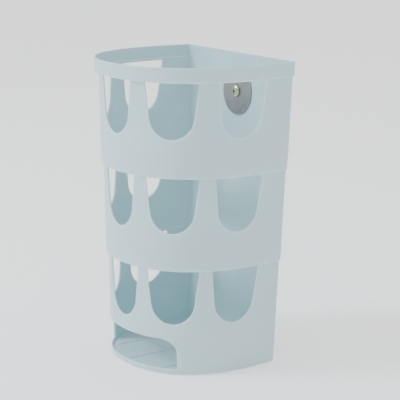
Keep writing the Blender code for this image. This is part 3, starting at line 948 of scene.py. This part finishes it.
class BagDispenserSizes(bpy.types.PropertyGroup):
    """Sizes of the basket and its fixing."""

    height: length_property("Height", "Foot to rim", 0.300)
    half_width: length_property("Half width", "Middle to back corner at the rim", 0.0923)
    depth: length_property("Depth", "Back to nose at the rim", 0.1505)
    back_top: length_property("Back", "How far behind the middle the back stands at the rim", 0.06205)
    wall: length_property("Wall", "Thickness of the moulding", 0.0018)
    edge_radius: length_property("Cut edges", "Radius of the edges round holes and mouth", 0.0008)
    hole_half_width: length_property("Hole half width", "Half width of a wide hole's top", 0.0265)
    hole_radius: length_property("Hole radius", "Radius of a wide hole's round bottom", 0.0224)
    hole_drop: length_property("Hole height", "Top to bottom of a hole", 0.0530)
    hole_gap: length_property("Hole gap", "From the step above down to a hole", 0.0006)
    mouth_half_width: length_property("Mouth half width", "Half width of the mouth", 0.0603)
    mouth_top: length_property("Mouth top", "Height of the mouth's upper edge", 0.0356)
    mouth_sill: length_property("Mouth sill", "Height of the mouth's lower edge", 0.0057)
    mouth_radius: length_property("Mouth corners", "Radius of the mouth's upper corners", 0.0130)
    washer_radius: length_property("Washer radius", "Outer radius of the washer", 0.0240)
    washer_bore: length_property("Washer bore", "Radius of the washer's bore", 0.0037)
    washer_thickness: length_property("Washer thickness", "Thickness of the washer", 0.0012)
    head_radius: length_property("Head radius", "Radius of the screw's head", 0.0062)
    shank_radius: length_property("Shank radius", "Radius over the screw's thread", 0.0024)
    shank_length: length_property("Shank length", "Seat of the head to the point", 0.0300)


class BagDispenserColours(bpy.types.PropertyGroup):
    """Colours of the finishes."""

    plastic: colour_property("Plastic", "Pale grey-blue of the moulding", (0.52, 0.67, 0.71, 1.0))
    steel: colour_property("Steel", "Dull pressed steel", (0.30, 0.285, 0.288, 1.0))
    zinc: colour_property("Zinc", "Yellow zinc plate", (0.62, 0.60, 0.38, 1.0))
    stage: colour_property("Stage", "Card under the object", (0.92, 0.92, 0.92, 1.0))


class DISPENSER_OT_basket(bpy.types.Operator):
    """Adds the moulded basket and the ribs on its floor"""

    bl_idname = "dispenser.basket"
    bl_label = "Basket"

    def execute(self, context):
        plastic = plastic_material()
        finish_piece("dispenser_basket", Basket().mesh(), plastic, "basket_body")
        finish_piece("dispenser_floor_ribs", make_ribs_mesh(), plastic)
        return {"FINISHED"}


class DISPENSER_OT_washer(bpy.types.Operator):
    """Adds the backing washer"""

    bl_idname = "dispenser.washer"
    bl_label = "Washer"

    def execute(self, context):
        steel = steel_material()
        finish_piece("dispenser_washer", make_washer_mesh(), steel, "backing_washer")
        return {"FINISHED"}


class DISPENSER_OT_screw(bpy.types.Operator):
    """Adds the wall screw"""

    bl_idname = "dispenser.screw"
    bl_label = "Screw"

    def execute(self, context):
        zinc = zinc_material()
        finish_piece("dispenser_screw", make_screw_mesh(), zinc, "wall_screw")
        return {"FINISHED"}


def add_light(name, place, aim, size, power, colour):
    """A round lamp at a place, turned towards a point."""
    light = bpy.data.lights.new(name, "AREA")
    light.shape, light.size = "DISK", size
    light.energy, light.color = power, colour
    lamp = bpy.data.objects.new(name, light)
    bpy.context.scene.collection.objects.link(lamp)
    direction = Vector(aim) - Vector(place)
    lamp.matrix_world = Matrix.Translation(place) @ direction.to_track_quat("-Z", "Y").to_matrix().to_4x4()


def stage_mesh():
    """A wide round floor: rings of even angle, each radius the widest one times the cube of its share."""
    radius = STAGE_RADIUS * np.linspace(0, 1, STAGE_RINGS)[:, None] ** 3
    turn = np.linspace(0, math.tau, STAGE_SECTORS + 1)[:-1]
    x, y = radius * np.cos(turn), radius * np.sin(turn)
    points = np.stack([x, y, np.full_like(x, -STAGE_DROP)], -1)
    data = bpy.data.meshes.new("stage_floor")
    quads = grid_quads(STAGE_RINGS, STAGE_SECTORS, True)
    data.from_pydata(points.reshape(-1, 3).tolist(), [], quads.tolist())
    work = bmesh.new()
    work.from_mesh(data)
    bmesh.ops.remove_doubles(work, verts=work.verts, dist=WELD)
    work.to_mesh(data)
    work.free()
    return data


def studio_sky():
    """Soft light from all round, brightest overhead and again near the horizon."""
    shader = Shader("studio", "worlds", "Background")
    height = shader.split(shader.node("ShaderNodeTexCoord", output="Generated"))[2]
    light = shader.node("ShaderNodeValToRGB", {"stops": SKY_STOPS}, {0: height})
    shader.fill(shader.surface, {"Color": light, "Strength": SKY_STRENGTH})
    return shader.owner


class DISPENSER_OT_stage(bpy.types.Operator):
    """Adds the floor, the soft studio light and the camera"""

    bl_idname = "dispenser.stage"
    bl_label = "Stage"

    def execute(self, context):
        scene = context.scene
        floor = bpy.data.objects.new("stage_floor", stage_mesh())
        scene.collection.objects.link(floor)
        floor.data.materials.append(floor_material())
        scene.world = studio_sky()
        add_light("key", place=(-0.9, -1.7, 1.5), aim=(0, 0, 0.15), size=0.8, power=36.0,
                  colour=(0.78, 0.91, 1.0))
        camera_data = bpy.data.cameras.new("camera")
        camera_data.lens, camera_data.sensor_width = CAMERA_LENS, CAMERA_SENSOR
        camera_data.clip_start = CAMERA_NEAR
        camera = bpy.data.objects.new("camera", camera_data)
        scene.collection.objects.link(camera)
        swing, rise = math.radians(CAMERA_SWING), math.radians(CAMERA_RISE)
        back = Vector((math.sin(swing) * math.cos(rise), -math.cos(swing) * math.cos(rise), math.sin(rise)))
        right = Vector((math.cos(swing), math.sin(swing), 0))
        turned_to = Matrix((right, back.cross(right), back)).transposed().to_4x4()
        camera.matrix_world = Matrix.Translation(CAMERA_PLACE) @ turned_to
        scene.camera = camera
        return {"FINISHED"}


class DISPENSER_PT_panel(bpy.types.Panel):
    """Lists the dispenser's pieces, sizes and colours"""

    bl_idname = "DISPENSER_PT_panel"
    bl_label = "Bag Dispenser"
    bl_space_type = "VIEW_3D"
    bl_region_type = "UI"
    bl_category = "Bag Dispenser"

    def draw(self, context):
        layout = self.layout
        for operator in OPERATORS:
            layout.operator(operator.bl_idname)
        for group in (context.scene.bag_dispenser_sizes, context.scene.bag_dispenser_colours):
            for key in group.__annotations__:
                layout.prop(group, key)


OPERATORS = (DISPENSER_OT_basket, DISPENSER_OT_washer, DISPENSER_OT_screw, DISPENSER_OT_stage)
CLASSES = (BagDispenserSizes, BagDispenserColours, *OPERATORS, DISPENSER_PT_panel)


def register():
    for cls in CLASSES:
        bpy.utils.register_class(cls)
    bpy.types.Scene.bag_dispenser_sizes = bpy.props.PointerProperty(type=BagDispenserSizes)
    bpy.types.Scene.bag_dispenser_colours = bpy.props.PointerProperty(type=BagDispenserColours)


def unregister():
    del bpy.types.Scene.bag_dispenser_colours
    del bpy.types.Scene.bag_dispenser_sizes
    for cls in reversed(CLASSES):
        bpy.utils.unregister_class(cls)


def main():
    register()
    bpy.ops.dispenser.basket()
    bpy.ops.dispenser.washer()
    bpy.ops.dispenser.screw()
    bpy.ops.dispenser.stage()


if __name__ == "__main__":
    main()
